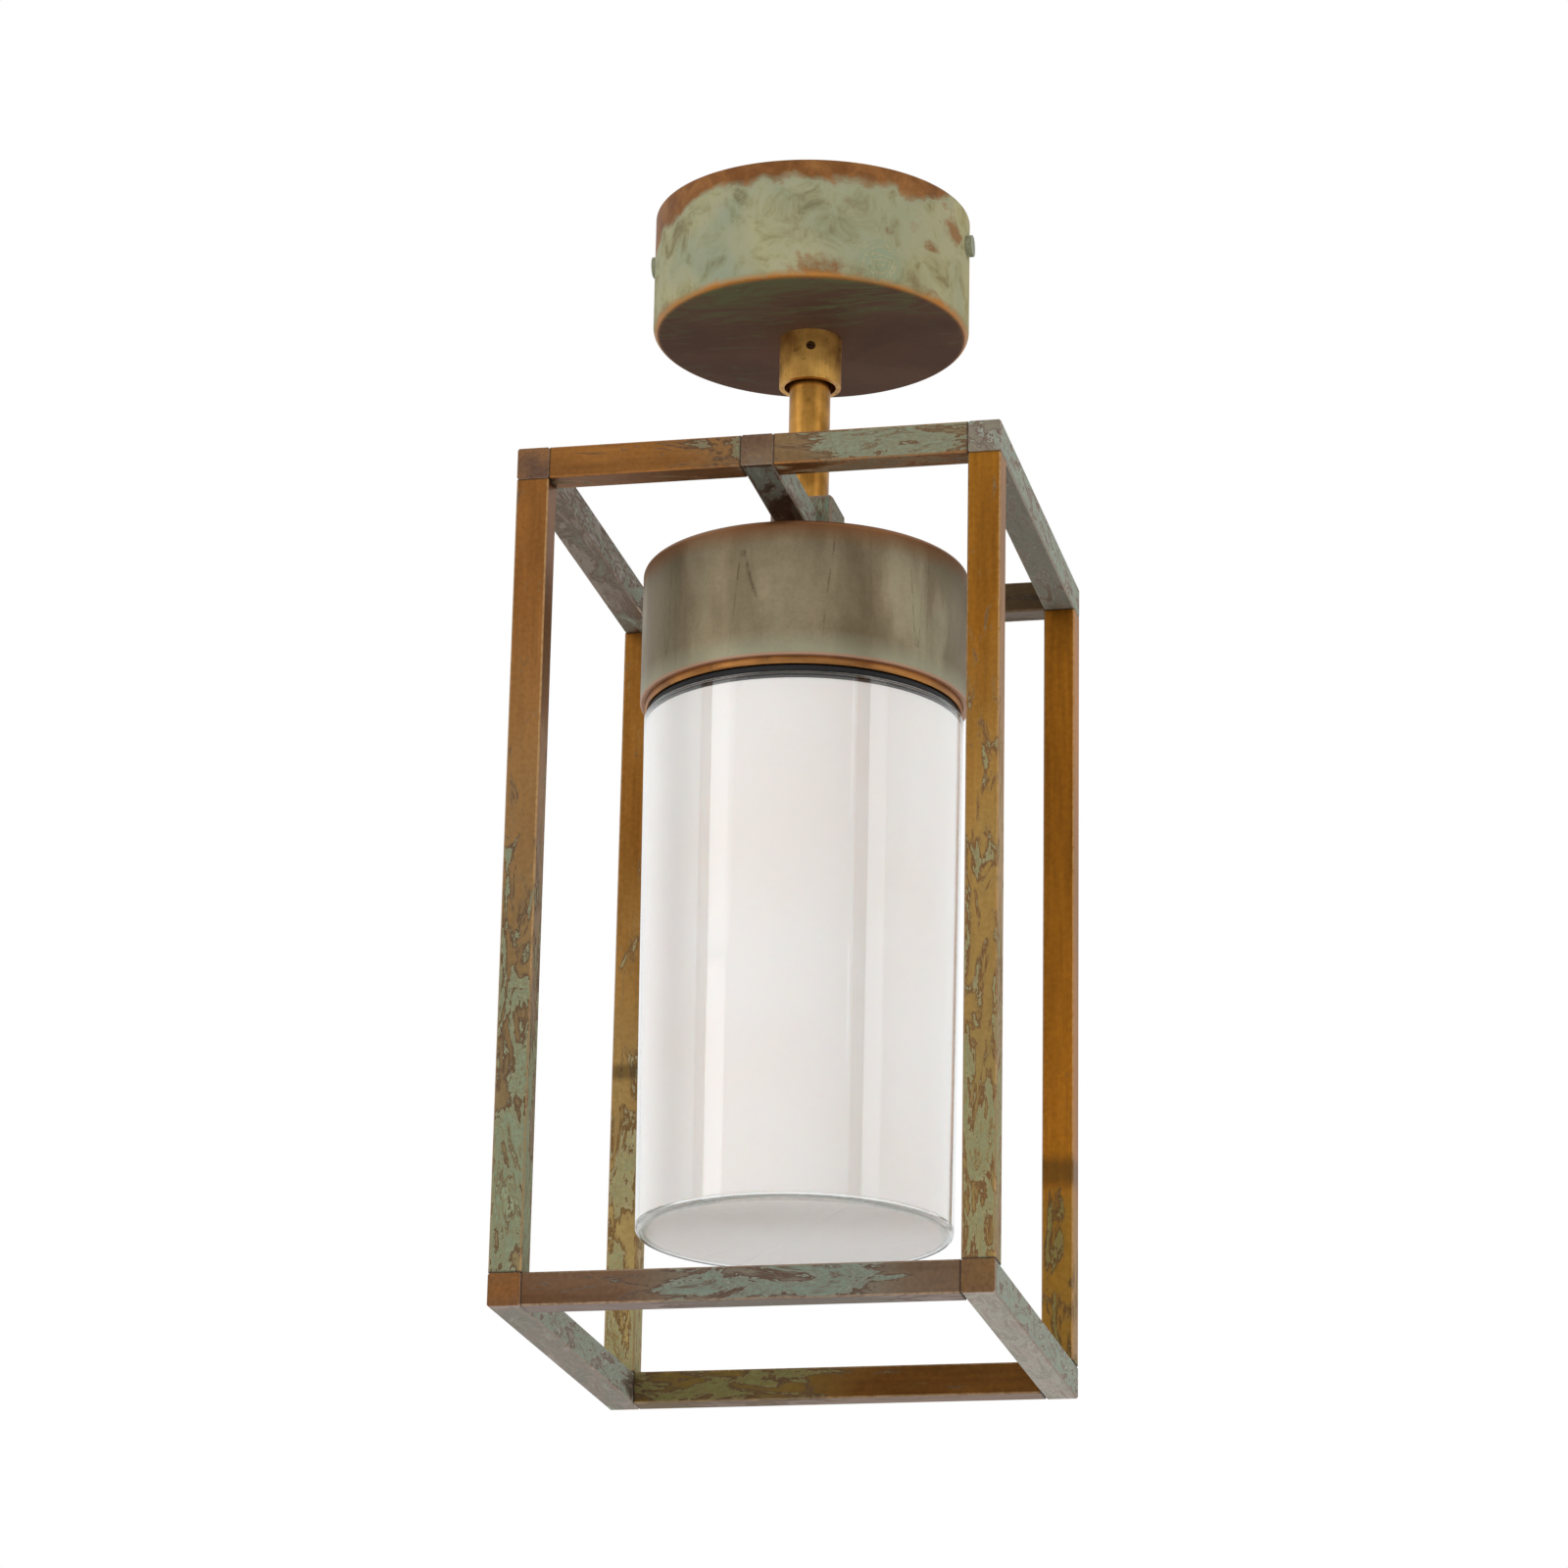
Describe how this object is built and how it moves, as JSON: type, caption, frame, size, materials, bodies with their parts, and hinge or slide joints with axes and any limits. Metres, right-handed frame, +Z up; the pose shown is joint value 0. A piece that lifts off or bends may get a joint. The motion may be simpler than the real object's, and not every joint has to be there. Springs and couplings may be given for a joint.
{
  "type": "porch ceiling lantern",
  "caption": "Ceiling lantern: an open cage of square brass bar on a short stem, with an opal glass shade that unscrews and lowers through the cage.",
  "frame": {"origin": "on the ceiling, at the middle of the bracket and of its two screw slots", "axes": "+Z up into the ceiling, -Y the front of the cage, +X to the right seen from the front"},
  "size_m": [0.15, 0.15, 0.37],
  "materials": {
    "aged_brass": "dark aged square bar with green patches",
    "bulb_opal": "white diffuser of a lamp",
    "clear_glass": "clear blown glass",
    "contact_black": "black insulator with contact",
    "copper_brass": "turned, bright edge",
    "dark_screw": "darkened steel screws",
    "fitting_brass": "bare turned fittings",
    "gasket_rubber": "black silicone rubber",
    "holder_resin": "moulded phenolic resin",
    "lead_blue": "blue insulation",
    "lead_brown": "brown insulation",
    "lead_green": "green and yellow insulation",
    "nickel_cap": "nickel plated screw cap",
    "opal_glass": "white opal glass",
    "patinated_brass": "verdigris sheet brass",
    "raw_brass": "untreated drawn tube, spotted",
    "terminal_plastic": "moulded polyamide",
    "zinc_steel": "zinc plated"
  },
  "bodies": {
    "bracket": {"ceiling_bracket": "zinc_steel"},
    "lantern": {"bottom_front_rail": "aged_brass", "bottom_rear_rail": "aged_brass", "bottom_side_rail_left": "aged_brass", "bottom_side_rail_right": "aged_brass", "centre_contact": "fitting_brass", "crossbar_front": "aged_brass", "crossbar_rear": "aged_brass", "cup_lock_nut": "zinc_steel", "cup_spacer": "fitting_brass", "cup_washer": "zinc_steel", "earth_lead": "lead_green", "earth_screw": "zinc_steel", "holder_bracket": "zinc_steel", "holder_screws": "zinc_steel", "hub_cube": "aged_brass", "lamp_cup": "patinated_brass", "lampholder_body": "holder_resin", "live_lead": "lead_brown", "lower_nipple": "fitting_brass", "neutral_lead": "lead_blue", "rose_cover": "patinated_brass", "rose_lock_nut": "zinc_steel", "rose_side_nuts": "zinc_steel", "rose_side_screws": "dark_screw", "rose_washer": "zinc_steel", "screw_ring": "copper_brass", "screw_shell": "fitting_brass", "stem_tube": "raw_brass", "terminal_block": "terminal_plastic", "terminal_clamp_screws": "zinc_steel", "terminal_plate": "zinc_steel", "terminal_sleeves": "fitting_brass", "top_front_rail_left": "aged_brass", "top_front_rail_right": "aged_brass", "top_rear_rail_left": "aged_brass", "top_rear_rail_right": "aged_brass", "top_side_rail_left": "aged_brass", "top_side_rail_right": "aged_brass", "upper_nipple": "fitting_brass", "upright_front_left": "aged_brass", "upright_front_right": "aged_brass", "upright_rear_left": "aged_brass", "upright_rear_right": "aged_brass"},
    "collar": {"stem_collar": "raw_brass", "collar_grub_screw": "dark_screw"},
    "gasket": {"shade_gasket": "gasket_rubber"},
    "shade": {"clear_glass": "clear_glass", "opal_liner": "opal_glass", "neck_collar": "copper_brass"},
    "bulb": {"bulb_screw_cap": "nickel_cap", "bulb_contact": "contact_black", "bulb_globe": "bulb_opal"}
  },
  "joints": [
    {"name": "rose_lower", "type": "slide", "parent": "bracket", "child": "lantern", "axis": [0, 0, -1], "range_m": [0, 0.04]},
    {"name": "collar_slide", "type": "slide", "parent": "lantern", "child": "collar", "axis": [0, 0, -1], "range_m": [0, 0.038]},
    {"name": "glass_lower", "type": "slide", "parent": "lantern", "child": "gasket", "axis": [0, 0, -1], "range_m": [0, 0.22]},
    {"name": "glass_turn", "type": "hinge", "parent": "gasket", "child": "shade", "pos_m": [0, 0, -0.169], "axis": [0, 0, -1], "continuous": true},
    {"name": "bulb_withdraw", "type": "slide", "parent": "lantern", "child": "bulb", "axis": [0, 0, -1], "range_m": [0, 0.032]}
  ]
}
